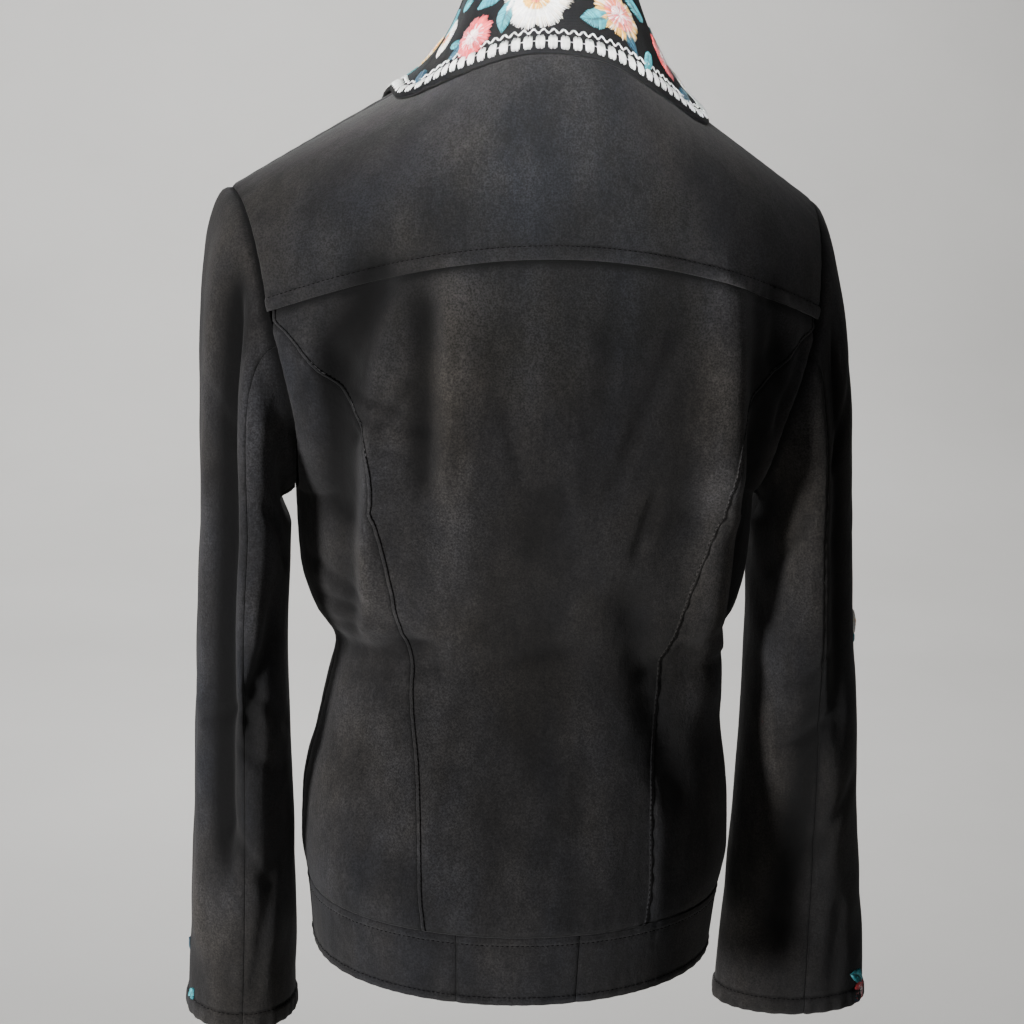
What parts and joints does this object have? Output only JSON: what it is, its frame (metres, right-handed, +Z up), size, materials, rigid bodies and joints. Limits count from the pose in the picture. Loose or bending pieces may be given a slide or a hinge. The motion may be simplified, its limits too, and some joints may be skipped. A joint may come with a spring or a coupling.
{
  "type": "embroidered jacket",
  "caption": "Short hollow jacket in suede-like cloth with back yoke, shaped seams, hem band, hanging two-piece sleeves and a large embroidered turn-down collar.",
  "frame": {"origin": "middle of the neck opening at the height of the nape, where the wearer's neck and shoulders hold the jacket up", "axes": "+Z up, -Y the way the front faces, +X the wearer's left"},
  "size_m": [0.504, 0.2442, 0.7618],
  "materials": {
    "suede": "black faux suede with a short soft nap, slightly mottled where it is brushed",
    "collar_cloth": "black plain-woven cloth covered with raised satin-stitch embroidery in white, coral, pink, yellow and teal"
  },
  "bodies": {
    "root": {"back_yoke": "suede", "back_centre": "suede", "back_side_left": "suede", "back_side_right": "suede", "front_left": "suede", "front_right": "suede", "hem_band_centre": "suede", "hem_band_left": "suede", "hem_band_right": "suede", "sleeve_top_left": "suede", "sleeve_under_left": "suede", "sleeve_top_right": "suede", "sleeve_under_right": "suede", "collar_stand": "collar_cloth", "collar_fall": "collar_cloth"}
  },
  "joints": []
}
